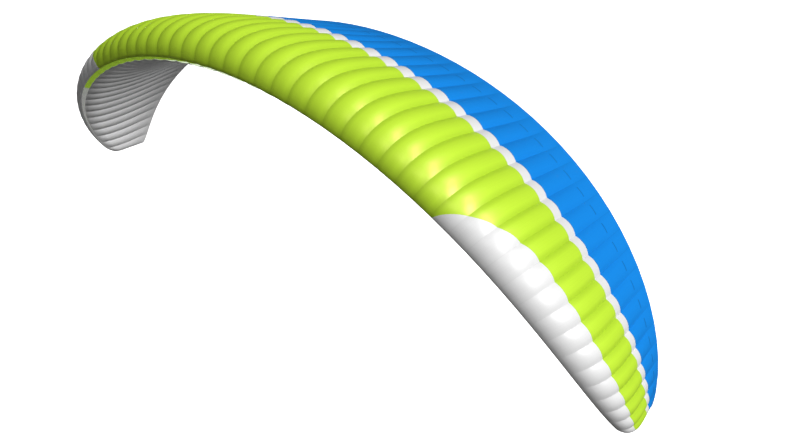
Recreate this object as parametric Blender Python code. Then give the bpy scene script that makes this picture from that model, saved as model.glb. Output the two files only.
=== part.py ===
"""Paraglider wing: an inflated ram-air canopy in its flying shape, without lines or risers.

The wing flies towards -Y, its span lies along X and +Z is up. The origin is on the underside seam of
the middle rib, at the hang point, where the pull of the lines would be centred. Metres throughout.

A place on the wing has two numbers. `rib` counts cells out from the middle rib, 0, to the closed tip
edges at -27 and +27, and may lie between two ribs. `wrap` runs round the section: 0 is the leading edge,
+1 the trailing edge on the upper side and -1 the trailing edge on the lower side; its square is the
share of the chord.
"""
import math

import bmesh
import bpy
import numpy as np
from mathutils import Vector

# Plan form and arc
FLAT_SPAN = 11.8
CENTRE_CHORD = 2.53
TIP_CHORD_SHARE = 0.237
CHORD_FULLNESS = (2.80, 1.27)  # powers of the rounded plan form
CELLS_A_SIDE = 27
RIBS_A_SIDE = 26  # the tip cell is closed by its edge and has no rib at its end
CELL_TAPER = (0.127, 0.003)  # how much wider the middle cells are than the tip cells
BANK_DEG = (53.0, 11.2, 14.7)  # bank of the ribs, in odd powers of the place along the span
SET_BACK = (0.248, -0.276, 0.617)  # sweep of the hang line, in even powers of the same
WASHOUT_DEG = (-1.5, -3.1, -6.0, 5.9)
HANG_POINT = 0.35
TIP_ROUNDING = 0.15  # share of the chord by which the tip edge's front corner is rounded back

# Rib section: weights of a smooth curve through the upper and the lower side
UPPER_SIDE = (0.469, 0.281, 0.200, 0.168)
LOWER_SIDE = (0.177, 0.164, 0.155, 0.076)

# Cloth
CLOTH = 0.002
GAP = 0.0003
RIB_TAIL_HEIGHT = 0.010
BILLOW = 0.165  # height of a cell's bulge, as a share of the cell's width
BILLOW_BELOW = 0.13
BILLOW_RISE = (-0.1, 0.55)  # places round the nose between which the upper bulge grows from nothing
BILLOW_RISE_BELOW = 0.2  # wrap behind the lower lip over which the lower bulge grows
LIP_BILLOW = 0.3  # share of the lower bulge that an open intake's lower lip has
BILLOW_FADE = 6  # power of wrap at which the bulge dies out towards the trailing edge

# Air intake, as places round the nose
INTAKE_TOP = -0.085
INTAKE_BOTTOM = -0.187
INTAKE_NARROWS = (0.60, 0.90)  # shares of the half span where it starts to narrow and where it is shut

# Colour fields of the upper side, as shares of the chord
STRIPE_FRONT = (0.465, -0.116, 0.214)
STRIPE_REAR = (0.548, -0.173, 0.297)
TAIL_SEAM = 0.827
WEDGE_SHARE = 0.165
WEDGE_START = 12.03  # the white nose panels begin just outboard of rib 12
WEDGE_FULL = 16.5
WEDGE_POINT = 0.03  # how far towards the next row of corners their pointed end stands off the lime

# Places round the section where every sheet and rib has a corner
UPPER_STATIONS = (INTAKE_TOP, 0.0, 0.1, 0.2, 0.32, 0.48)
LOWER_STATIONS = (-0.7, -0.4)
SMALLEST_STEP = 0.03
CUT_EDGE_ANGLE = math.radians(60)

COLOURS = {
    "lime": (0.53, 0.87, 0.03),
    "white": (0.86, 0.86, 0.86),
    "blue": (0.013, 0.26, 0.82),
    "rib_cloth": (0.78, 0.78, 0.78),
}


def even_powers(weights, place):
    """Sum of weights times 1, place^2, place^4 ..."""
    return sum(weight * place ** (2 * power) for power, weight in enumerate(weights))


def span_place(rib):
    """Share of the half span at a rib number, along the flat cloth: -1 and +1 at the tips."""
    share = rib / CELLS_A_SIDE
    middle, tip = CELL_TAPER
    return share * (1 + middle + tip - middle * share**2 - tip * abs(share) ** 6)


def bank(place):
    return math.radians(place * even_powers(BANK_DEG, place))


def arc_table(steps=400):
    """Places along the half span with the arc's run out and drop at each."""
    places = np.linspace(0, 1, steps + 1)
    banks = np.array([bank(place) for place in places])
    middles = (banks[1:] + banks[:-1]) / 2
    step = FLAT_SPAN / 2 / steps
    run = np.concatenate([[0], np.cumsum(np.cos(middles) * step)])
    drop = np.concatenate([[0], np.cumsum(np.sin(middles) * step)])
    return places, run, drop


ARC = arc_table()


def arc_point(place):
    """X and Z of the hang line."""
    places, run, drop = ARC
    out = math.copysign(np.interp(abs(place), places, run), place)
    return out, -np.interp(abs(place), places, drop)


def chord(place):
    fullness, roundness = CHORD_FULLNESS
    rounded = max(0.0, 1 - abs(place) ** fullness) ** (1 / roundness)
    return CENTRE_CHORD * (TIP_CHORD_SHARE + (1 - TIP_CHORD_SHARE) * rounded)


def smooth_blend(weights, share):
    """Bernstein blend of the weights over a share from 0 to 1."""
    last = len(weights) - 1
    return sum(
        weight * math.comb(last, k) * share**k * (1 - share) ** (last - k)
        for k, weight in enumerate(weights)
    )


def side_height(wrap):
    """Height of the section over its chord line, in chords."""
    weights = UPPER_SIDE if wrap > 0 else LOWER_SIDE
    return wrap * (1 - wrap**2) * smooth_blend(weights, wrap**2)


def tip_thickness(rib):
    """1 over the whole span, rounding to 0 across the last cell."""
    beyond = max(0.0, abs(rib) - RIBS_A_SIDE)
    return math.sqrt(max(0.0, 1 - beyond**2))


def section_point(rib, wrap, chord_length):
    """Place on the rib section, in metres back from the leading edge and up from the chord line."""
    keep = tip_thickness(rib)
    half_edge = math.copysign(CLOTH + GAP / 2, wrap) * max(wrap**2, 1 - keep)
    back = wrap**2 + TIP_ROUNDING * (1 - keep) * (1 - wrap**2)
    return back * chord_length, keep * side_height(wrap) * chord_length + half_edge


def place_point(rib, wrap):
    """Point on the outside of the cloth, from the hang line's middle."""
    place = span_place(rib)
    length = chord(place)
    back, up = section_point(rib, wrap, length)
    back -= HANG_POINT * length
    pitch = math.radians(even_powers(WASHOUT_DEG, place))
    along = back * math.cos(pitch) + up * math.sin(pitch)
    above = up * math.cos(pitch) - back * math.sin(pitch)
    out, height = arc_point(place)
    lean = bank(place)
    set_back = place**2 * even_powers(SET_BACK, place)
    return Vector(
        (
            out + above * math.sin(lean),
            set_back + along,
            height + above * math.cos(lean),
        )
    )


ORIGIN = place_point(0, -math.sqrt(HANG_POINT))


def seam_point(rib, wrap):
    """Point on the outside of the cloth, without the bulge of the cells."""
    return place_point(rib, wrap) - ORIGIN


def cell_width(rib):
    """Width of the cloth that one rib number stands for."""
    return (span_place(rib + 0.5) - span_place(rib - 0.5)) * FLAT_SPAN / 2


def outward(rib, wrap):
    """Unit normal of the unbulged surface, pointing out of the wing."""
    if abs(rib) >= CELLS_A_SIDE:
        lean = bank(span_place(rib))
        return Vector((math.sin(lean), 0, math.cos(lean))) * math.copysign(1, wrap)
    small = 0.01
    along_span = seam_point(rib + small, wrap) - seam_point(rib - small, wrap)
    low, high = max(wrap - small, -1), min(wrap + small, 1)
    round_section = seam_point(rib, high) - seam_point(rib, low)
    return along_span.cross(round_section).normalized()


def is_seam(rib):
    return rib == round(rib)


def clamp(share):
    return min(1.0, max(0.0, share))


def bulge(rib, wrap):
    """Height of a cell's middle over the straight line between its ribs' seams."""
    first, last = BILLOW_RISE
    rise = clamp((wrap - first) / (last - first))
    fullness = BILLOW * rise**2 * (3 - 2 * rise)
    if wrap <= lower_front(rib):
        lip = LIP_BILLOW * (intake_top(rib) - lower_front(rib)) / (INTAKE_TOP - INTAKE_BOTTOM)
        behind_lip = clamp((INTAKE_BOTTOM - wrap) / BILLOW_RISE_BELOW)
        fullness = BILLOW_BELOW * (lip + (1 - lip) * behind_lip)
    return fullness * cell_width(rib) * (1 - abs(wrap) ** BILLOW_FADE)


def cloth_point(rib, wrap, depth=0.0):
    """Point on a seam or on the bulge between two seams, `depth` inside the cloth's outer face."""
    base = seam_point(rib, wrap)
    if is_seam(rib):
        return base - outward(rib, wrap) * depth
    seam = math.floor(rib)
    across = rib - seam
    if abs(rib) < RIBS_A_SIDE:
        base = seam_point(seam, wrap).lerp(seam_point(seam + 1, wrap), across)
    height = 4 * across * (1 - across) * bulge(seam + 0.5, wrap)
    return base + outward(rib, wrap) * (height - depth)


def wrap_step(rib, wrap, length):
    """Change of wrap that moves `length` round the section."""
    small = 0.005
    low, high = max(wrap - small, -1), min(wrap + small, 1)
    return length * (high - low) / (seam_point(rib, high) - seam_point(rib, low)).length


def wrap_at(rib, weights):
    return math.sqrt(even_powers(weights, span_place(rib)))


# Edges of the colour fields: each gives its wrap at a rib number


def intake_top(rib):
    """Upper lip of the intake; past the last intake it is the seam to the lower side."""
    first, last = INTAKE_NARROWS
    share = clamp((abs(span_place(rib)) - first) / (last - first))
    lip = INTAKE_TOP + (INTAKE_BOTTOM - INTAKE_TOP) * share**2
    return lip * clamp(CELLS_A_SIDE - abs(rib))


def lower_front(rib):
    """Front edge of the lower side, which runs to the leading edge across the tip cell."""
    return INTAKE_BOTTOM * clamp(CELLS_A_SIDE - abs(rib))


def wedge_edge(rib):
    """Rear edge of the white nose panels."""
    share = clamp((abs(rib) - WEDGE_START) / (WEDGE_FULL - WEDGE_START))
    full = math.sqrt(WEDGE_SHARE)
    return INTAKE_TOP + (full - INTAKE_TOP) * math.sqrt(1 - (1 - share) ** 2)


def lime_front(rib):
    return intake_top(rib) if abs(rib) <= WEDGE_START else wedge_edge(rib)


def stripe_front(rib):
    return wrap_at(rib, STRIPE_FRONT)


def stripe_rear(rib):
    return wrap_at(rib, STRIPE_REAR)


def tail_seam(rib):
    return math.sqrt(TAIL_SEAM)


def upper_tail(rib):
    return 1.0


def lower_tail(rib):
    return -1.0


def stations(first, last, choices):
    """Wraps of one row's corners, from edge to edge."""
    between = [
        wrap for wrap in choices if first + SMALLEST_STEP < wrap < last - SMALLEST_STEP
    ]
    return [first] + sorted(between) + [last]


def half_cells(first, last):
    """Rib numbers at every seam and at the middle of every cell."""
    return [first + k / 2 for k in range(int(round((last - first) * 2)) + 1)]


def cloth_row(rib, start, end, choices):
    """Row of a panel's corners from one edge to the other, each an outer and an inner point."""
    first, last = start(rib), end(rib)
    if abs(first) < 1:
        first += wrap_step(rib, first, GAP / 2)
    if abs(last) < 1:
        last -= wrap_step(rib, last, GAP / 2)
    return [
        (cloth_point(rib, wrap), cloth_point(rib, wrap, CLOTH))
        for wrap in stations(first, last, choices)
    ]


def zip_rows(left, right):
    """Triangles between two rows, as corner numbers (row, place in row)."""
    faces = []
    i = j = 0
    while i < len(left) - 1 or j < len(right) - 1:
        can_left, can_right = i < len(left) - 1, j < len(right) - 1
        take_left = can_left
        if can_left and can_right:
            across_left = (left[i + 1][0] - right[j][0]).length
            across_right = (left[i][0] - right[j + 1][0]).length
            take_left = across_left <= across_right
        if take_left:
            faces.append(((0, i), (1, j), (0, i + 1)))
            i += 1
        else:
            faces.append(((0, i), (1, j), (1, j + 1)))
            j += 1
    return faces


def edge_loop(rows):
    """Corners round the edge of a sheet; a first row of one corner is a pointed end."""
    loop = [row[0] for row in rows] + rows[-1][1:]
    loop += [row[-1] for row in reversed(rows[:-1])] + rows[0][-2:0:-1]
    if loop[-1] is loop[0]:
        loop.pop()
    return loop


def cloth_mesh(ribs, rows):
    """Closed sheet through the rows: outer face, inner face and the cut edges all round."""
    mesh = bmesh.new()
    outer = [[mesh.verts.new(point) for point, _ in row] for row in rows]
    inner = [[mesh.verts.new(point) for _, point in row] for row in rows]
    for k in range(len(rows) - 1):
        for corners in zip_rows(rows[k], rows[k + 1]):
            mesh.faces.new([outer[k + row][n] for row, n in corners])
            mesh.faces.new([inner[k + row][n] for row, n in reversed(corners)])
    rim, under = edge_loop(outer), edge_loop(inner)
    for k in range(len(rim)):
        mesh.faces.new((rim[k - 1], under[k - 1], under[k], rim[k]))
    crease_seams(mesh, ribs, outer + inner)
    return mesh


def crease_seams(mesh, ribs, rows):
    """Sharp edges where the cloth is sewn to a rib and round its cut edges."""
    for rib, row in zip(list(ribs) * 2, rows):
        if is_seam(rib):
            for k in range(len(row) - 1):
                mesh.edges.get((row[k], row[k + 1])).smooth = False
    for edge in mesh.edges:
        if edge.calc_face_angle(0) > CUT_EDGE_ANGLE:
            edge.smooth = False


def finish(name, mesh, colour):
    """Object with its own material, from a closed bmesh."""
    bmesh.ops.triangulate(mesh, faces=[face for face in mesh.faces if len(face.verts) > 3])
    bmesh.ops.recalc_face_normals(mesh, faces=mesh.faces)
    if mesh.calc_volume(signed=True) < 0:
        bmesh.ops.reverse_faces(mesh, faces=mesh.faces)
    data = bpy.data.meshes.new(name)
    mesh.to_mesh(data)
    mesh.free()
    data.shade_smooth()
    data.materials.append(fabric(name, COLOURS[colour]))
    part = bpy.data.objects.new(name, data)
    bpy.context.scene.collection.objects.link(part)
    return part


def fabric(name, colour):
    material = bpy.data.materials.new(f"{name}_cloth")
    material.use_nodes = True
    shader = material.node_tree.nodes["Principled BSDF"]
    shader.inputs["Base Color"].default_value = (*colour, 1)
    shader.inputs["Roughness"].default_value = 0.45
    shader.inputs["Metallic"].default_value = 0.0
    return material


def panel(name, colour, start, end, choices=UPPER_STATIONS, extra_ribs=()):
    """One field of cloth between two edges, sewn together over the whole span."""
    ribs = sorted(half_cells(-CELLS_A_SIDE, CELLS_A_SIDE) + list(extra_ribs))
    rows = [cloth_row(rib, start, end, choices) for rib in ribs]
    return finish(name, cloth_mesh(ribs, rows), colour)


def wedge(name, side):
    """White nose panels of one half wing, which start in a point on the intake's upper lip."""
    first = math.floor(WEDGE_START) + 0.5
    ribs = [side * rib for rib in half_cells(first, CELLS_A_SIDE)]
    rows = [cloth_row(rib, intake_top, wedge_edge, UPPER_STATIONS) for rib in ribs]
    start = side * WEDGE_START
    lip = intake_top(start)
    point = [
        cloth_point(start, lip, depth).lerp(cloth_point(ribs[0], lip, depth), WEDGE_POINT)
        for depth in (0, CLOTH)
    ]
    return finish(name, cloth_mesh([start] + ribs, [[point]] + rows), "white")


def rib_tail(rib):
    """Wrap where the inside of the cell is still RIB_TAIL_HEIGHT high."""
    slope = UPPER_SIDE[-1] + LOWER_SIDE[-1]
    share = 1 - (RIB_TAIL_HEIGHT + 2 * CLOTH) / (slope * chord(span_place(rib)))
    return math.sqrt(share)


def rib_outline(rib):
    """Wraps of the rib's corners, round from the upper tail over the nose to the lower tail."""
    tail = rib_tail(rib)
    edges = [lower_front(rib), stripe_front(rib), stripe_rear(rib), tail_seam(rib)]
    if intake_top(rib) - lower_front(rib) > SMALLEST_STEP:
        edges.append(intake_top(rib))
    if abs(rib) > WEDGE_START:
        edges.append(wedge_edge(rib))
    upper = [
        wrap
        for wrap in UPPER_STATIONS
        if min(abs(wrap - edge) for edge in edges) > SMALLEST_STEP
    ]
    return [tail] + sorted(edges + upper + list(LOWER_STATIONS), reverse=True) + [-tail]


def rib_panel(rib):
    """Flat rib of one seam, cut to the inside of the cloth."""
    mesh = bmesh.new()
    half = CLOTH / 2 / cell_width(rib)
    faces = []
    outline = rib_outline(rib)
    for side in (-half, half):
        points = [
            seam_point(rib + side, wrap) - outward(rib + side, wrap) * (CLOTH + GAP)
            for wrap in outline
        ]
        faces.append([mesh.verts.new(point) for point in points])
    left, right = faces
    mesh.faces.new(left)
    mesh.faces.new(list(reversed(right)))
    for k in range(len(left)):
        mesh.faces.new((left[k - 1], left[k], right[k], right[k - 1]))
    return finish(f"rib_{rib + RIBS_A_SIDE:02d}", mesh, "rib_cloth")


def clear_scene():
    for thing in list(bpy.data.objects):
        bpy.data.objects.remove(thing, do_unlink=True)


def main():
    clear_scene()
    wedge_starts = (-WEDGE_START, WEDGE_START)
    panel("upper_lime", "lime", lime_front, stripe_front, extra_ribs=wedge_starts)
    panel("upper_stripe", "white", stripe_front, stripe_rear)
    panel("upper_blue", "blue", stripe_rear, tail_seam)
    panel("upper_blue_tail", "blue", tail_seam, upper_tail)
    wedge("nose_white_left", 1)
    wedge("nose_white_right", -1)
    panel("lower_white", "white", lower_tail, lower_front, LOWER_STATIONS)
    for rib in range(-RIBS_A_SIDE, RIBS_A_SIDE + 1):
        rib_panel(rib)


main()
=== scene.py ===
"""Paraglider wing in flight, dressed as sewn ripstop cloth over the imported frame.

A place on the wing has two numbers. `rib` counts cells out from the middle rib, 0, to the closed tip
edges at -27 and +27. `wrap` runs round the section: 0 is the leading edge, +1 the trailing edge on the
upper side and -1 the trailing edge on the lower side; its square is the share of the chord. Lengths
are in metres.
"""
import math

import bmesh
import bpy
import numpy as np
from bpy.props import FloatProperty, FloatVectorProperty, IntProperty, PointerProperty
from mathutils import Matrix, Vector


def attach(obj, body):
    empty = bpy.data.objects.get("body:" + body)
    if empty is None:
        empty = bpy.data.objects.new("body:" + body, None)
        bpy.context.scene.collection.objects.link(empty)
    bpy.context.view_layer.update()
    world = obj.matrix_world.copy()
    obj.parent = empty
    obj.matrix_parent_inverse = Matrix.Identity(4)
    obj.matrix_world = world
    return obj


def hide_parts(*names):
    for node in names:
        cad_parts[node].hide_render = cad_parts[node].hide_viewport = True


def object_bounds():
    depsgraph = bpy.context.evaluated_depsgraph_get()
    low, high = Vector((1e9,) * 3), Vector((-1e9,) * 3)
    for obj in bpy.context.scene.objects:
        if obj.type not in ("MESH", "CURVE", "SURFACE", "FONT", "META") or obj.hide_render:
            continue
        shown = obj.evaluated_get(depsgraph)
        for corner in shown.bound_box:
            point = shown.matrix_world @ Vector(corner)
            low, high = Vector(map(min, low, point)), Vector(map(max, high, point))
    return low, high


bl_info = {
    "name": "Paraglider wing",
    "version": (1, 0, 0),
    "blender": (4, 5, 0),
    "location": "3D View > Sidebar > Wing",
    "description": "Makes the cloth panels and ribs of an inflated paraglider wing, with its studio",
    "category": "Add Mesh",
}

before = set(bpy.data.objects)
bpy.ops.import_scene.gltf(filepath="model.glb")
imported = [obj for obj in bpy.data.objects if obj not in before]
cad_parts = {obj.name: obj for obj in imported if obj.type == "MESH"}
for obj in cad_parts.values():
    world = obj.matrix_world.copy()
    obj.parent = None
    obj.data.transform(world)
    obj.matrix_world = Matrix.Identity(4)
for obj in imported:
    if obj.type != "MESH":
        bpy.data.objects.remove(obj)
CAD_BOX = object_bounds()

# Plan form and arc, as the frame's solids have them
FLAT_SPAN = 11.8
CENTRE_CHORD = 2.53
TIP_CHORD_SHARE = 0.237
CHORD_FULLNESS = (2.80, 1.27)  # powers of the rounded plan form
CELLS_A_SIDE = 27
RIBS_A_SIDE = 26  # the tip cell is closed by its edge and has no rib at its end
CELL_TAPER = (0.127, 0.003)  # how much wider the middle cells are than the tip cells
BANK_DEG = (53.0, 11.2, 14.7)  # bank of the ribs, in odd powers of the place along the span
SET_BACK = (0.248, -0.276, 0.617)  # sweep of the hang line, in even powers of the same
WASHOUT_DEG = (-1.5, -3.1, -6.0, 5.9)  # nose-up pitch of the ribs, in even powers of the same
HANG_POINT = 0.35  # share of the chord
TIP_ROUNDING = 0.15  # share of the chord by which the tip edge's front corner is rounded back
ARC_STEPS = 400

# Rib section: weights of a smooth curve through the upper and the lower side
UPPER_SIDE = (0.469, 0.281, 0.200, 0.168)
LOWER_SIDE = (0.177, 0.164, 0.155, 0.076)

# Sheets and the bulge of the cells
CLOTH = 0.002
GAP = 0.0003
RIB_TAIL_HEIGHT = 0.010
BILLOW_RISE = (-0.1, 0.55)  # places round the nose between which the upper bulge grows from nothing
BILLOW_RISE_BELOW = 0.2  # wrap behind the lower lip over which the lower bulge grows
LIP_BILLOW = 0.3  # share of the lower bulge that an open intake's lower lip has
BILLOW_FADE = 6  # power of wrap at which the bulge dies out towards the trailing edge
FLATTEST_BULGE = 1e-4  # in cell widths; an arc with no height would have no radius

# Air intake, as places round the nose
INTAKE_TOP = -0.085
INTAKE_BOTTOM = -0.187
INTAKE_NARROWS = (0.60, 0.90)  # shares of the half span where it starts to narrow and where it is shut

# Colour fields of the upper side, as shares of the chord, the stripe's in even powers along the span
STRIPE_FRONT = (0.465, -0.116, 0.214)
STRIPE_REAR = (0.548, -0.173, 0.297)
TAIL_SEAM = 0.827
WEDGE_SHARE = 0.165
WEDGE_START = 12.03  # the white nose panels begin just outboard of rib 12
WEDGE_FULL = 16.5  # rib from which they have their full depth

# Fineness of the meshes
WEDGE_COLUMNS = (0, 0.01, 0.03, 0.06)  # extra columns, in cells, where the pointed panels start
RIB_POINTS = 40  # corners along each side of a rib
TRIAL_ROWS = 8  # rows of the coarse grid from which a field's length is measured
SAME_PLACE = 1e-6  # in metres or in cells
PLACE_DIGITS = 6  # decimals of a column's rib number
SHORTEST = 1e-12  # least length that a vector is divided by

# Weave and coat of the cloth
RIPSTOP_SQUARE = 0.030  # 5 mm in the real cloth, drawn six times as coarse so that it shows
RIPSTOP_YARN = 0.002  # width of a thick yarn, 0.3 mm in the real cloth, drawn as coarse
YARN_SOFTNESS = 0.5
YARN_SHADE = 0.07  # share of the seam's colour that a thick yarn takes
YARN_RELIEF = 0.0006  # height of the yarns and the crumples
RELIEF_STRENGTH = 0.15
CRUMPLES = 9.0  # soft creases per metre
CRUMPLE_DETAIL = 3.0
COATED_ROUGHNESS = 0.42
RIB_ROUGHNESS = 0.8
PLAIN_SHINE = 0.5  # the shader's own level of gloss, for a clean surface
RIB_SHINE = 0.1  # the resin coat of a rib is matt
NYLON_IOR = 1.75  # nylon has 1.53, raised to match the shine of its coat
CELL_SHADE = 0.79  # share of painted shade on a rib, for the light that the cloth round it keeps from it
CELL_DARK = "101208"  # colour of the painted shade on a rib

# How far the look of a seam, and the painted shade beside it, reaches into the cloth
SEAM_FOLD = 0.004  # folded edge and thread over a rib
SEAM_VALLEY_SHADE = 0.06  # painted shade beside them, for the valley between two bulging cells that lies in shade
EDGE_FOLD = 0.012  # folded front and rear edge of a field

# Studio
FLOOR_SIDES = 96
FLOOR_PAINT = "F4F4F4"
FLOOR_ROUGHNESS = 0.9
FLOOR_GLOW = 1.0  # as bright as the backdrop, so that the two meet without an edge
CAMERA_REACH = 500  # past the far edge of the floor


# Shape of the wing: rib numbers, wraps and places may be single numbers or arrays


def even_powers(weights, place):
    """Sum of weights times 1, place^2, place^4 ..."""
    return sum(weight * place ** (2 * power) for power, weight in enumerate(weights))


def span_place(rib):
    """Share of the half span at a rib number, along the flat cloth: -1 and +1 at the tips."""
    share = rib / CELLS_A_SIDE
    middle, tip = CELL_TAPER
    return share * (1 + middle + tip - middle * share**2 - tip * abs(share) ** 6)


def bank(place):
    """Lean of the ribs away from upright, in radians."""
    return np.radians(place * even_powers(BANK_DEG, place))


def arc_table():
    """Places along the half span with the arc's run out and drop at each."""
    places = np.linspace(0, 1, ARC_STEPS + 1)
    banks = bank(places)
    middles = (banks[1:] + banks[:-1]) / 2
    step = FLAT_SPAN / 2 / ARC_STEPS
    run = np.concatenate([[0], np.cumsum(np.cos(middles) * step)])
    drop = np.concatenate([[0], np.cumsum(np.sin(middles) * step)])
    return places, run, drop


ARC = arc_table()


def chord(place):
    """Length of the chord at a place along the half span."""
    fullness, roundness = CHORD_FULLNESS
    rounded = np.maximum(0.0, 1 - abs(place) ** fullness) ** (1 / roundness)
    return CENTRE_CHORD * (TIP_CHORD_SHARE + (1 - TIP_CHORD_SHARE) * rounded)


def smooth_blend(weights, share):
    """Bernstein blend of the weights over a share from 0 to 1."""
    last = len(weights) - 1
    return sum(
        weight * math.comb(last, k) * share**k * (1 - share) ** (last - k)
        for k, weight in enumerate(weights)
    )


def side_height(wrap):
    """Height of the section over its chord line, in chords."""
    upper = smooth_blend(UPPER_SIDE, wrap**2)
    lower = smooth_blend(LOWER_SIDE, wrap**2)
    return wrap * (1 - wrap**2) * np.where(wrap > 0, upper, lower)


def tip_thickness(rib):
    """1 over the whole span, rounding to 0 across the last cell."""
    beyond = np.maximum(0.0, abs(rib) - RIBS_A_SIDE)
    return np.sqrt(np.maximum(0.0, 1 - beyond**2))


def place_point(rib, wrap):
    """Points on the outside of the cloth, from the hang line's middle."""
    place = span_place(rib)
    length = chord(place)
    keep = tip_thickness(rib)
    half_edge = np.where(wrap < 0, -1, 1) * (CLOTH + GAP / 2) * np.maximum(wrap**2, 1 - keep)
    back = wrap**2 + TIP_ROUNDING * (1 - keep) * (1 - wrap**2)
    back = (back - HANG_POINT) * length
    up = keep * side_height(wrap) * length + half_edge
    pitch = np.radians(even_powers(WASHOUT_DEG, place))
    along = back * np.cos(pitch) + up * np.sin(pitch)
    above = up * np.cos(pitch) - back * np.sin(pitch)
    places, run, drop = ARC
    out = np.sign(place) * np.interp(abs(place), places, run)
    lean = bank(place)
    set_back = place**2 * even_powers(SET_BACK, place)
    height = above * np.cos(lean) - np.interp(abs(place), places, drop)
    return np.stack([out + above * np.sin(lean), set_back + along, height], axis=-1)


ORIGIN = place_point(np.array(0.0), np.array(-math.sqrt(HANG_POINT)))


def seam_point(rib, wrap):
    """Points on the outside of the cloth, without the bulge of the cells."""
    return place_point(rib, wrap) - ORIGIN


def unit(vectors):
    """The vectors at a length of 1."""
    return vectors / np.maximum(np.linalg.norm(vectors, axis=-1, keepdims=True), SHORTEST)


def outward(rib, wrap):
    """Unit normals of the unbulged surface, pointing out of the wing."""
    small = 0.01
    low, high = np.maximum(wrap - small, -1), np.minimum(wrap + small, 1)
    along_span = seam_point(rib + small, wrap) - seam_point(rib - small, wrap)
    round_section = seam_point(rib, high) - seam_point(rib, low)
    return unit(np.cross(along_span, round_section))


def cell_width(rib):
    """Width of the flat cloth from half a cell before a rib number to half a cell after it."""
    return (span_place(rib + 0.5) - span_place(rib - 0.5)) * FLAT_SPAN / 2


def billow(rib, wrap, shape):
    """Bulge of a cell's middle as a share of its width."""
    first, last = BILLOW_RISE
    rise = np.clip((wrap - first) / (last - first), 0, 1)
    above = shape.billow * rise**2 * (3 - 2 * rise)
    lip = LIP_BILLOW * (intake_top(rib) - lower_front(rib)) / (INTAKE_TOP - INTAKE_BOTTOM)
    behind_lip = np.clip((INTAKE_BOTTOM - wrap) / BILLOW_RISE_BELOW, 0, 1)
    below = shape.billow_below * (lip + (1 - lip) * behind_lip)
    fullness = np.where(wrap <= lower_front(rib) + SAME_PLACE, below, above)
    return fullness * (1 - abs(wrap) ** BILLOW_FADE)


def arc_height(across, bulge):
    """Height of a circular arc over its chord, both in cell widths, at shares across the chord."""
    bulge = np.maximum(bulge, FLATTEST_BULGE)
    radius = (bulge**2 + 0.25) / (2 * bulge)
    return np.sqrt(radius**2 - (across - 0.5) ** 2) - (radius - bulge)


def cloth_point(rib, wrap, shape):
    """Points on the billowed cloth."""
    inner = np.clip(np.floor(rib), -CELLS_A_SIDE, CELLS_A_SIDE - 1)
    across = rib - inner
    middle = inner + 0.5
    left, right = seam_point(inner, wrap), seam_point(inner + 1, wrap)
    straight = left + (right - left) * across[..., None]
    in_tip = (abs(middle) > RIBS_A_SIDE)[..., None]
    base = np.where(in_tip, seam_point(rib, wrap), straight)
    rise = arc_height(across, billow(rib, wrap, shape)) * cell_width(middle)
    return base + outward(middle, wrap) * rise[..., None]


# Edges of the colour fields: each gives its wraps at rib numbers


def tip_fade(rib):
    """1 over the whole span, falling to 0 across the last cell."""
    return np.clip(CELLS_A_SIDE - abs(rib), 0, 1)


def intake_top(rib):
    """Front edge of the upper cloth, which closes down onto the lower cloth towards the tips."""
    first, last = INTAKE_NARROWS
    share = np.clip((abs(span_place(rib)) - first) / (last - first), 0, 1)
    return (INTAKE_TOP + (INTAKE_BOTTOM - INTAKE_TOP) * share**2) * tip_fade(rib)


def lower_front(rib):
    """Front edge of the lower cloth."""
    return INTAKE_BOTTOM * tip_fade(rib)


def wedge_edge(rib):
    """Rear edge of the white nose panels, rounded from their pointed inner ends."""
    share = np.clip((abs(rib) - WEDGE_START) / (WEDGE_FULL - WEDGE_START), 0, 1)
    full = math.sqrt(WEDGE_SHARE)
    return INTAKE_TOP + (full - INTAKE_TOP) * np.sqrt(1 - (1 - share) ** 2)


def lime_front(rib):
    """Front edge of the lime cloth, at the intakes and then behind the white nose panels."""
    return np.where(abs(rib) <= WEDGE_START, intake_top(rib), wedge_edge(rib))


def wedge_share(rib):
    """Share of the chord that the white nose panels cover at full depth, below 0 where they don't."""
    return np.where(abs(rib) < WEDGE_FULL, -1.0, np.maximum(wedge_edge(rib), 0) ** 2)


def stripe_front(rib):
    return np.sqrt(even_powers(STRIPE_FRONT, span_place(rib)))


def stripe_rear(rib):
    return np.sqrt(even_powers(STRIPE_REAR, span_place(rib)))


def tail_seam(rib):
    return np.full_like(rib, math.sqrt(TAIL_SEAM))


def upper_tail(rib):
    return np.ones_like(rib)


def lower_tail(rib):
    return -np.ones_like(rib)


# Meshes


def columns(first, last, per_cell):
    """Rib numbers of the cloth's columns, with extra ones where the pointed panels start."""
    half = CELLS_A_SIDE * per_cell
    ribs = np.arange(-half, half + 1) / per_cell
    starts = [side * (WEDGE_START + extra) for side in (-1, 1) for extra in WEDGE_COLUMNS]
    ribs = np.unique(np.round(np.concatenate([ribs, starts]), PLACE_DIGITS))
    return ribs[(ribs >= first) & (ribs <= last)]


def distances_along(points, axis):
    """How far each point of a grid lies along its row or column."""
    steps = np.linalg.norm(np.diff(points, axis=axis), axis=-1)
    start = np.zeros_like(np.take(steps, [0], axis=axis))
    return np.concatenate([start, np.cumsum(steps, axis=axis)], axis=axis)


def cloth_grid(ribs, start, end, rows, shape):
    """Rib numbers and points of a field of cloth, half a gap clear of its neighbours."""
    first, last = start(ribs), end(ribs)
    rib = np.repeat(ribs[:, None], rows + 1, axis=1)
    share = np.linspace(0, 1, rows + 1)
    wrap = first[:, None] + (last - first)[:, None] * share
    points = cloth_point(rib, wrap, shape)
    for edge, inner, place in ((0, 1, first), (-1, -2, last)):
        inset = unit(points[:, inner] - points[:, edge]) * GAP / 2
        points[:, edge] += inset * (abs(place) < 1)[:, None]
    return rib, points


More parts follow.
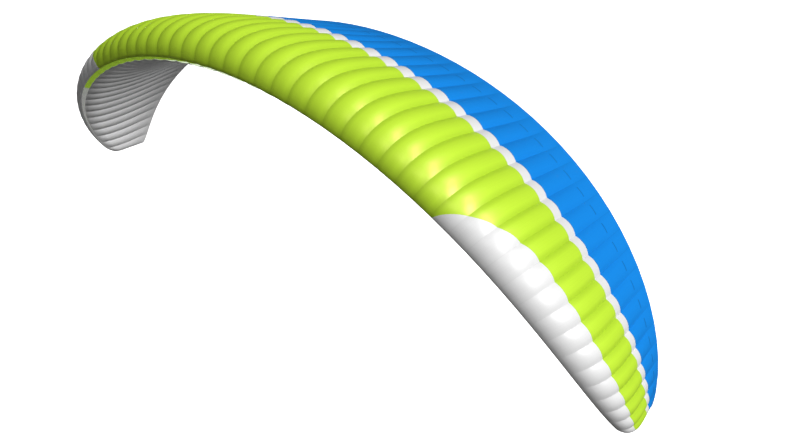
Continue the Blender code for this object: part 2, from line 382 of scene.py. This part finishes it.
def grid_faces(width, height):
    """Corner numbers of a grid's faces, turned outwards."""
    corner = np.arange(width * height).reshape(width, height)
    quads = [corner[:-1, :-1], corner[1:, :-1], corner[1:, 1:], corner[:-1, 1:]]
    return np.stack([quad.ravel() for quad in quads], axis=1)


def set_uv(mesh, layer, across, along):
    """UV layer in metres, from two numbers for each vertex."""
    values = np.stack([across, along], axis=-1).reshape(-1, 2)
    corners = np.empty(len(mesh.loops), dtype=np.int32)
    mesh.loops.foreach_get("vertex_index", corners)
    uv = mesh.uv_layers.new(name=layer)
    uv.data.foreach_set("uv", values[corners].astype(np.float32).ravel())


def crease_seams(mesh, rib):
    """Sharp edges where the cloth is sewn to a rib, and along the front and rear of its field."""
    corners = np.empty(len(mesh.edges) * 2, dtype=np.int32)
    mesh.edges.foreach_get("vertices", corners)
    corners = corners.reshape(-1, 2)
    ends = rib.ravel()[corners]
    along_rib = abs(ends[:, 0] - ends[:, 1]) < SAME_PLACE
    at_rib = abs(ends[:, 0] - np.round(ends[:, 0])) < SAME_PLACE
    row = corners % rib.shape[1]
    at_edge = (row[:, 0] == row[:, 1]) & np.isin(row[:, 0], (0, rib.shape[1] - 1))
    sharp = mesh.attributes.new("sharp_edge", "BOOLEAN", "EDGE")
    sharp.data.foreach_set("value", (along_rib & at_rib) | at_edge)


def weld_points(mesh):
    """Joins the corners that meet in the pointed end of a field."""
    work = bmesh.new()
    work.from_mesh(mesh)
    bmesh.ops.remove_doubles(work, verts=work.verts, dist=SAME_PLACE)
    work.to_mesh(mesh)
    work.free()


def add_piece(mesh, material, node):
    """Object that stands for one of the frame's solids and rides with it."""
    mesh.materials.append(material)
    piece = bpy.data.objects.new(mesh.name, mesh)
    bpy.context.scene.collection.objects.link(piece)
    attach(piece, "root")
    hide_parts(node)
    return piece


def cut_size(points):
    """Widest and longest run of a grid of cloth in metres, and its area in square metres."""
    width = distances_along(points, 0)[-1].max()
    length = distances_along(points, 1)[:, -1].max()
    across = points[1:, :-1] - points[:-1, :-1]
    along = points[:-1, 1:] - points[:-1, :-1]
    area = np.linalg.norm(np.cross(across, along), axis=-1).sum()
    return (float(width), float(length)), float(area)


def cloth_field(node, start, end, material, span=(-CELLS_A_SIDE, CELLS_A_SIDE)):
    """A field of cloth between two edges, sewn to the ribs at its creases."""
    shape = bpy.context.scene.wing_shape
    ribs = columns(*span, shape.columns_per_cell)
    _, trial = cloth_grid(ribs, start, end, TRIAL_ROWS, shape)
    (_, length), _ = cut_size(trial)
    rib, points = cloth_grid(ribs, start, end, math.ceil(length / shape.row_step), shape)
    mesh = bpy.data.meshes.new(f"{node}_cloth")
    mesh.from_pydata(points.reshape(-1, 3).tolist(), [], grid_faces(*rib.shape).tolist())
    mesh.shade_smooth()
    crease_seams(mesh, rib)
    along = distances_along(points, 1)
    set_uv(mesh, "weave", span_place(rib) * FLAT_SPAN / 2, along)
    to_rib = abs(rib - np.round(rib)) * cell_width(np.floor(rib) + 0.5)
    set_uv(mesh, "seams", to_rib, np.minimum(along, along[:, -1:] - along))
    weld_points(mesh)
    piece = add_piece(mesh, material, node)
    thickness = piece.modifiers.new("cloth thickness", "SOLIDIFY")
    thickness.thickness = CLOTH
    thickness.offset = -1  # the grid is the outer face


def rib_outline(rib):
    """Wraps round a rib, from the upper tail over the open intake to the lower tail.

    The tail is cut off where the section is still high enough for RIB_TAIL_HEIGHT between the cloths.
    """
    slope = UPPER_SIDE[-1] + LOWER_SIDE[-1]
    share = 1 - (RIB_TAIL_HEIGHT + 2 * CLOTH) / (slope * chord(span_place(rib)))
    tail = math.sqrt(share)
    upper = np.linspace(tail, intake_top(rib), RIB_POINTS)
    lower = np.linspace(lower_front(rib), -tail, RIB_POINTS)
    return np.concatenate([upper, lower])


def rib_cloth(rib, material):
    """Flat rib, cut to the inside of the upper and lower cloth."""
    wrap = rib_outline(rib)
    half = CLOTH / 2 / cell_width(rib)
    left, right = (
        seam_point(rib + side, wrap) - outward(rib + side, wrap) * (CLOTH + GAP)
        for side in (-half, half)
    )
    count = len(wrap)
    faces = [list(range(count)), list(range(2 * count - 1, count - 1, -1))]
    for k in range(count):
        following = (k + 1) % count
        faces.append([following, k, count + k, count + following])
    node = f"rib_{rib + RIBS_A_SIDE:02d}"
    mesh = bpy.data.meshes.new(f"{node}_cloth")
    mesh.from_pydata(np.concatenate([left, right]).tolist(), [], faces)
    length = chord(span_place(rib))
    back = wrap**2 * length
    up = side_height(wrap) * length
    set_uv(mesh, "weave", np.concatenate([back, back]), np.concatenate([up, up]))
    # Places along the rib where its painted tint of light changes: white under the nose panels, then
    # lime, then white under the stripe and blue behind it
    past_front = back - stripe_front(rib) ** 2 * length
    past_rear = back - stripe_rear(rib) ** 2 * length
    past_nose = back - wedge_share(rib) * length
    set_uv(mesh, "fields", np.tile(past_front, 2), np.tile(past_rear, 2))
    set_uv(mesh, "wedge", np.tile(past_nose, 2), np.tile(past_nose, 2))
    piece = add_piece(mesh, material, node)


# Materials


def linear(code):
    """Linear colour with alpha from an sRGB hex code."""
    shares = [int(code[k : k + 2], 16) / 255 for k in (0, 2, 4)]
    return (
        *(s / 12.92 if s <= 0.04045 else ((s + 0.055) / 1.055) ** 2.4 for s in shares),
        1.0,
    )


def add_node(tree, kind, settings=(), inputs=()):
    """Node with its settings, and its inputs set to values or linked from sockets."""
    node = tree.nodes.new(kind)
    for name, value in dict(settings).items():
        setattr(node, name, value)
    for name, value in dict(inputs).items():
        if isinstance(value, bpy.types.NodeSocket):
            tree.links.new(value, node.inputs[name])
        else:
            node.inputs[name].default_value = value
    return node


MULTIPLY = ("ShaderNodeMath", {"operation": "MULTIPLY"})
ADD = ("ShaderNodeMath", {"operation": "ADD"})
LARGER = ("ShaderNodeMath", {"operation": "MAXIMUM"})
PAST = ("ShaderNodeMath", {"operation": "GREATER_THAN"})
BLEND = ("ShaderNodeMix", {"data_type": "RGBA"})  # colours at inputs 6 and 7 and at output 2


def coated_cloth(name, pick_base, roughness=COATED_ROUGHNESS, gloss="FFFFFF", shine=PLAIN_SHINE):
    """Coated ripstop nylon: closely woven, calendered and silicone-coated, so it has a satin gloss.

    pick_base gives the base colour from the node tree and the share of thick ripstop yarn, which is
    0 on the plain weave and 1 on the yarn.
    """
    material = bpy.data.materials.new(name)
    material.use_nodes = True
    tree = material.node_tree
    shader = tree.nodes["Principled BSDF"]
    weave = add_node(tree, "ShaderNodeUVMap", {"uv_map": "weave"}).outputs["UV"]
    inputs = {
        "Vector": weave,
        "Scale": 1.0,
        "Brick Width": RIPSTOP_SQUARE,
        "Row Height": RIPSTOP_SQUARE,
        "Mortar Size": RIPSTOP_YARN / 2,
        "Mortar Smooth": YARN_SOFTNESS,
    }
    yarn = add_node(tree, "ShaderNodeTexBrick", {"offset": 0.0, "squash": 1.0}, inputs).outputs["Fac"]
    inputs = {"Vector": weave, "Scale": CRUMPLES, "Detail": CRUMPLE_DETAIL}
    crumples = add_node(tree, "ShaderNodeTexNoise", {}, inputs).outputs["Fac"]
    tree.links.new(pick_base(tree, yarn), shader.inputs["Base Color"])
    shader.inputs["Roughness"].default_value = roughness
    shader.inputs["IOR"].default_value = NYLON_IOR
    shader.inputs["Specular Tint"].default_value = linear(gloss)
    shader.inputs["Specular IOR Level"].default_value = shine
    height = add_node(tree, *ADD, {0: yarn, 1: crumples}).outputs[0]
    inputs = {"Height": height, "Strength": RELIEF_STRENGTH, "Distance": YARN_RELIEF}
    bump = add_node(tree, "ShaderNodeBump", {}, inputs)
    tree.links.new(bump.outputs["Normal"], shader.inputs["Normal"])
    return material


# How each field's seams, painted shade and gloss look. Each gives the colour that thread and folds turn
# the cloth to, which the painted shade beside a rib takes too, and three shares of it: over a rib,
# beside it, and at the field's front and rear edge. The share beside a rib is painted shade, for the
# valley between two bulging cells. The edge shows no line nearer to a rib than "clear", in metres.
# "gloss" tints what the coat reflects and "shine" is how strongly: dyed coats give the lime and blue
# cloth a gloss of their own.
# WHITE_LOOK holds what the white fields share.
WHITE_LOOK = {"seam": "8C8C8C", "clear": 0.0, "gloss": "FFFFFF", "shine": PLAIN_SHINE}
STRIPE_LOOK = {**WHITE_LOOK, "seam": "A8A8A8", "at_rib": 0.30, "valley_shade": 0.05, "at_edge": 0.10}
NOSE_LOOK = {**WHITE_LOOK, "at_rib": 0.20, "valley_shade": 0.08, "at_edge": 0.0}
LOWER_LOOK = {**WHITE_LOOK, "at_rib": 0.60, "valley_shade": 0.15, "at_edge": 0.10}
LIME_LOOK = {
    "seam": "5E8008", "at_rib": 0.45, "valley_shade": 0.26, "at_edge": 0.20, "clear": 0.0,
    "gloss": "FFF0A0", "shine": 2 * PLAIN_SHINE,
}
BLUE_LOOK = {
    "seam": "0A3A70", "at_rib": 0.30, "valley_shade": 0.08, "at_edge": 0.75, "clear": 0.05,
    "gloss": "A0D0FF", "shine": PLAIN_SHINE,
}


def ripstop_nylon(name, colour, look):
    """Sewn field of ripstop: its seams are fine dark lines, with painted shade beside them for the
    valley between bulging cells.
    """
    # The seam colour is also the colour of the painted shade beside a rib
    seam_colour = linear(look["seam"])
    # X is the distance to the nearest rib, Y to the nearer of the field's front and rear edges
    lines = (
        {"axis": "X", "reach": SEAM_FOLD, "share": look["at_rib"], "clear": 0.0},
        # Painted shade beside each rib, for the valley between two bulging cells
        {"axis": "X", "reach": SEAM_VALLEY_SHADE, "share": look["valley_shade"], "clear": 0.0},
        {"axis": "Y", "reach": EDGE_FOLD, "share": look["at_edge"], "clear": look["clear"]},
    )

    def pick_base(tree, yarn):
        seams = add_node(tree, "ShaderNodeUVMap", {"uv_map": "seams"}).outputs["UV"]
        parts = add_node(tree, "ShaderNodeSeparateXYZ", {}, {"Vector": seams})
        share = add_node(tree, *MULTIPLY, {0: yarn, 1: YARN_SHADE}).outputs[0]
        for line in lines:
            inputs = {
                "Value": parts.outputs[line["axis"]],
                "From Max": line["reach"],
                "To Min": line["share"],
                "To Max": 0.0,
            }
            shade = add_node(tree, "ShaderNodeMapRange", {}, inputs).outputs[0]
            if line["clear"]:
                inputs = {0: parts.outputs["X"], 1: line["clear"]}
                away = add_node(tree, *PAST, inputs).outputs[0]
                shade = add_node(tree, *MULTIPLY, {0: shade, 1: away}).outputs[0]
            share = add_node(tree, *LARGER, {0: share, 1: shade}).outputs[0]
        return add_node(tree, *BLEND, {0: share, 6: colour, 7: seam_colour}).outputs[2]

    return coated_cloth(name, pick_base, gloss=look["gloss"], shine=look["shine"])


def rib_nylon(name, colours):
    """Hard-finished nylon of the ribs, coated with resin, so it is matt.

    Its colour holds painted light and shade: each part is tinted lime, white or blue for the light that
    comes through the cloth over it, and darkened for the shade inside the cells.
    """

    def pick_base(tree, yarn):
        parts = {}
        for layer in ("fields", "wedge"):
            place = add_node(tree, "ShaderNodeUVMap", {"uv_map": layer}).outputs["UV"]
            parts[layer] = add_node(tree, "ShaderNodeSeparateXYZ", {}, {"Vector": place}).outputs
        # Painted light: the rib takes the colour of the cloth that the light comes through
        base = colours.white
        fields = (
            {"from": parts["wedge"]["X"], "colour": colours.lime},
            {"from": parts["fields"]["X"], "colour": colours.white},
            {"from": parts["fields"]["Y"], "colour": colours.blue},
        )
        for field in fields:
            past = add_node(tree, *PAST, {0: field["from"], 1: 0.0}).outputs[0]
            base = add_node(tree, *BLEND, {0: past, 6: base, 7: field["colour"]}).outputs[2]
        # Painted shade: the colour is blended by CELL_SHADE towards CELL_DARK, for the shade inside the
        # cells
        thread = add_node(tree, *MULTIPLY, {0: yarn, 1: YARN_SHADE}).outputs[0]
        shade = add_node(tree, *ADD, {0: thread, 1: CELL_SHADE}).outputs[0]
        return add_node(tree, *BLEND, {0: shade, 6: base, 7: linear(CELL_DARK)}).outputs[2]

    return coated_cloth(name, pick_base, RIB_ROUGHNESS, shine=RIB_SHINE)


# Studio

WHITE = linear("FFFFFF")

# Each lamp's place in degrees, round from -Y towards +X and up, its share of the strength, and
# whether it shows as gloss
LAMPS = (
    {"name": "high_light", "around": 86, "up": 66, "share": 0.36, "gloss": True},
    {"name": "side_light", "around": 76, "up": 34, "share": 0.90, "gloss": True},
    {"name": "front_light", "around": 18, "up": 41, "share": 0.14, "gloss": True},
    {"name": "far_light", "around": -113, "up": -7, "share": 0.36, "gloss": False},
    {"name": "rear_light", "around": -165, "up": -8, "share": 0.42, "gloss": False},
    {"name": "low_light", "around": -98, "up": -46, "share": 0.28, "gloss": False},
)


def direction(around, up):
    """Unit vector at an angle round from -Y towards +X, and at an angle up."""
    return Vector(
        (math.sin(around) * math.cos(up), -math.cos(around) * math.cos(up), math.sin(up))
    )


def pale_floor(studio):
    """Disc below the wing in pale matt paint, even all over, which throws no light up at the wing."""
    mesh = bpy.data.meshes.new("studio_floor")
    work = bmesh.new()
    bmesh.ops.create_circle(work, cap_ends=True, segments=FLOOR_SIDES, radius=studio.floor_radius)
    work.to_mesh(mesh)
    work.free()
    floor = bpy.data.objects.new("studio_floor", mesh)
    floor.location.z = CAD_BOX[0].z - studio.floor_clearance
    bpy.context.scene.collection.objects.link(floor)
    material = bpy.data.materials.new("painted_floor")
    material.use_nodes = True
    shader = material.node_tree.nodes["Principled BSDF"]
    shader.inputs["Base Color"].default_value = linear(FLOOR_PAINT)
    shader.inputs["Roughness"].default_value = FLOOR_ROUGHNESS
    shader.inputs["Emission Color"].default_value = WHITE
    shader.inputs["Emission Strength"].default_value = FLOOR_GLOW
    mesh.materials.append(material)
    floor.visible_diffuse = False
    floor.visible_glossy = False
    floor.visible_shadow = False


def studio_world(studio):
    """Even light from all round, in front of a white backdrop."""
    world = bpy.data.worlds.new("studio_world")
    bpy.context.scene.world = world
    world.use_nodes = True
    tree = world.node_tree
    tree.nodes.clear()
    eye = add_node(tree, "ShaderNodeLightPath")
    inputs = {"Color": studio.fill_colour, "Strength": studio.fill_strength}
    fill = add_node(tree, "ShaderNodeBackground", {}, inputs)
    backdrop = add_node(tree, "ShaderNodeBackground", {}, {"Color": WHITE})
    inputs = {0: eye.outputs["Is Camera Ray"], 1: fill.outputs[0], 2: backdrop.outputs[0]}
    both = add_node(tree, "ShaderNodeMixShader", {}, inputs)
    add_node(tree, "ShaderNodeOutputWorld", {}, {"Surface": both.outputs[0]})


def lamp(row, studio):
    """Soft distant light; it throws no shadow, as if the thin cloth let it through."""
    light = bpy.data.lights.new(row["name"], "SUN")
    light.energy = row["share"] * studio.light_strength
    light.angle = studio.light_size
    light.use_shadow = False
    thing = bpy.data.objects.new(row["name"], light)
    towards = direction(math.radians(row["around"]), math.radians(row["up"]))
    thing.rotation_mode = "QUATERNION"
    thing.rotation_quaternion = towards.to_track_quat("Z", "Y")
    thing.visible_glossy = row["gloss"]
    bpy.context.scene.collection.objects.link(thing)


def studio_camera(studio):
    """Camera in front of the wing and to its left, looking back and down at it."""
    data = bpy.data.cameras.new("studio_camera")
    data.lens = studio.lens
    data.clip_end = CAMERA_REACH
    camera = bpy.data.objects.new("studio_camera", data)
    around, roll = studio.camera_around, studio.camera_roll
    look = -direction(around, studio.camera_down)
    level = Vector((math.cos(around), math.sin(around), 0))
    upright = level.cross(look)
    right = level * math.cos(roll) + upright * math.sin(roll)
    up = upright * math.cos(roll) - level * math.sin(roll)
    turn = Matrix((right, up, -look)).transposed()
    camera.rotation_mode = "QUATERNION"
    camera.rotation_quaternion = turn.to_quaternion()
    camera.location = studio.camera_place
    bpy.context.scene.collection.objects.link(camera)
    bpy.context.scene.camera = camera


# Properties


class WingShape(bpy.types.PropertyGroup):
    """Bulge of the cells and fineness of the cloth's mesh"""

    billow: FloatProperty(
        name="Billow above",
        description="Height of an upper cell's bulge, as a share of the cell's width",
        default=0.165,
        min=0.0,
        max=0.4,
        subtype="FACTOR",
    )
    billow_below: FloatProperty(
        name="Billow below",
        description="Height of a lower cell's bulge, as a share of the cell's width",
        default=0.13,
        min=0.0,
        max=0.4,
        subtype="FACTOR",
    )
    columns_per_cell: IntProperty(
        name="Columns per cell",
        description="Columns of faces across each cell",
        default=8,
        min=2,
        max=16,
    )
    row_step: FloatProperty(
        name="Row step",
        description="Length of the faces along the chord",
        default=0.024,
        min=0.005,
        unit="LENGTH",
    )


class WingColours(bpy.types.PropertyGroup):
    """Colours that the cloth is dyed, which the ribs also take as painted light through the cloth"""

    lime: FloatVectorProperty(
        name="Lime", description="Front cloth", subtype="COLOR", size=4, default=linear("C9F43B")
    )
    white: FloatVectorProperty(
        name="White",
        description="Cloth of the stripe, nose panels and underside",
        subtype="COLOR",
        size=4,
        default=linear("E9E9E9"),
    )
    blue: FloatVectorProperty(
        name="Blue", description="Rear cloth", subtype="COLOR", size=4, default=linear("148CEA")
    )


class StudioSettings(bpy.types.PropertyGroup):
    """Floor, light and camera"""

    floor_radius: FloatProperty(
        name="Floor radius", description="Radius of the floor", default=120.0, unit="LENGTH"
    )
    floor_clearance: FloatProperty(
        name="Floor clearance",
        description="Height of the wing tips over the floor",
        default=0.6,
        unit="LENGTH",
    )
    fill_strength: FloatProperty(
        name="Fill strength", description="Strength of the light from all round", default=0.02
    )
    fill_colour: FloatVectorProperty(
        name="Fill colour",
        description="Colour of the light from all round",
        subtype="COLOR",
        size=4,
        default=WHITE,
    )
    light_strength: FloatProperty(
        name="Light strength", description="Strength of a lamp with a share of 1", default=2.95
    )
    light_size: FloatProperty(
        name="Light size",
        description="Width of each lamp in the sky",
        default=math.radians(20),
        unit="ROTATION",
    )
    lens: FloatProperty(
        name="Lens", description="Focal length", default=32.93, unit="CAMERA", subtype="DISTANCE_CAMERA"
    )
    camera_place: FloatVectorProperty(
        name="Camera place",
        description="Where the camera stands",
        default=(6.122, -5.629, 2.548),
        subtype="TRANSLATION",
    )
    camera_around: FloatProperty(
        name="Camera turn", description="Turn of the camera from +Y", default=0.6500, unit="ROTATION"
    )
    camera_down: FloatProperty(
        name="Camera tilt", description="Tilt of the camera below level", default=0.4918, unit="ROTATION"
    )
    camera_roll: FloatProperty(
        name="Camera roll", description="Roll about the line of sight", default=0.0914, unit="ROTATION"
    )


# Operators


class UpperCloth(bpy.types.Operator):
    """Makes the lime field, the white stripe and the two blue fields of the upper side"""

    bl_idname = "wing.upper_cloth"
    bl_label = "Upper cloth"

    def execute(self, context):
        colours = context.scene.wing_colours
        lime = ripstop_nylon("ripstop_nylon_lime", colours.lime, LIME_LOOK)
        white = ripstop_nylon("ripstop_nylon_white_stripe", colours.white, STRIPE_LOOK)
        blue = ripstop_nylon("ripstop_nylon_blue", colours.blue, BLUE_LOOK)
        cloth_field("upper_lime", lime_front, stripe_front, lime)
        cloth_field("upper_stripe", stripe_front, stripe_rear, white)
        cloth_field("upper_blue", stripe_rear, tail_seam, blue)
        cloth_field("upper_blue_tail", tail_seam, upper_tail, blue)
        return {"FINISHED"}


class NoseCloth(bpy.types.Operator):
    """Makes the pointed white nose panels of both halves"""

    bl_idname = "wing.nose_cloth"
    bl_label = "Nose panels"

    def execute(self, context):
        colours = context.scene.wing_colours
        white = ripstop_nylon("ripstop_nylon_white_nose", colours.white, NOSE_LOOK)
        left, right = (WEDGE_START, CELLS_A_SIDE), (-CELLS_A_SIDE, -WEDGE_START)
        cloth_field("nose_white_left", intake_top, wedge_edge, white, left)
        cloth_field("nose_white_right", intake_top, wedge_edge, white, right)
        return {"FINISHED"}


class LowerCloth(bpy.types.Operator):
    """Makes the white cloth of the underside"""

    bl_idname = "wing.lower_cloth"
    bl_label = "Lower cloth"

    def execute(self, context):
        colours = context.scene.wing_colours
        white = ripstop_nylon("ripstop_nylon_white_lower", colours.white, LOWER_LOOK)
        cloth_field("lower_white", lower_tail, lower_front, white)
        return {"FINISHED"}


class Ribs(bpy.types.Operator):
    """Makes the ribs between the upper and the lower cloth"""

    bl_idname = "wing.ribs"
    bl_label = "Ribs"

    def execute(self, context):
        colours = context.scene.wing_colours
        # Rib cloth whose colour holds painted light and painted shade
        white = rib_nylon("rib_nylon_painted_light_and_shade", colours)
        for rib in range(-RIBS_A_SIDE, RIBS_A_SIDE + 1):
            rib_cloth(rib, white)
        return {"FINISHED"}


class Studio(bpy.types.Operator):
    """Makes the floor, backdrop, lights and camera"""

    bl_idname = "wing.studio"
    bl_label = "Studio"

    def execute(self, context):
        studio = context.scene.wing_studio
        pale_floor(studio)
        studio_world(studio)
        for row in LAMPS:
            lamp(row, studio)
        studio_camera(studio)
        context.scene.view_settings.view_transform = "Standard"  # keeps the backdrop white
        return {"FINISHED"}


class WingPanel(bpy.types.Panel):
    """Lists the wing's pieces and settings"""

    bl_idname = "VIEW3D_PT_wing"
    bl_label = "Paraglider wing"
    bl_space_type = "VIEW_3D"
    bl_region_type = "UI"
    bl_category = "Wing"

    def draw(self, context):
        for group in (context.scene.wing_shape, context.scene.wing_colours, context.scene.wing_studio):
            box = self.layout.box()
            for name in group.__annotations__:
                box.prop(group, name)
        for maker in MAKERS:
            self.layout.operator(maker.bl_idname)


MAKERS = (UpperCloth, NoseCloth, LowerCloth, Ribs, Studio)
GROUPS = {"wing_shape": WingShape, "wing_colours": WingColours, "wing_studio": StudioSettings}


def register():
    for kind in (*GROUPS.values(), *MAKERS, WingPanel):
        bpy.utils.register_class(kind)
    for name, kind in GROUPS.items():
        setattr(bpy.types.Scene, name, PointerProperty(type=kind))


def unregister():
    for name in GROUPS:
        delattr(bpy.types.Scene, name)
    for kind in reversed((*GROUPS.values(), *MAKERS, WingPanel)):
        bpy.utils.unregister_class(kind)


def main():
    register()
    bpy.ops.wing.upper_cloth()
    bpy.ops.wing.nose_cloth()
    bpy.ops.wing.lower_cloth()
    bpy.ops.wing.ribs()
    bpy.ops.wing.studio()


if __name__ == "__main__":
    main()
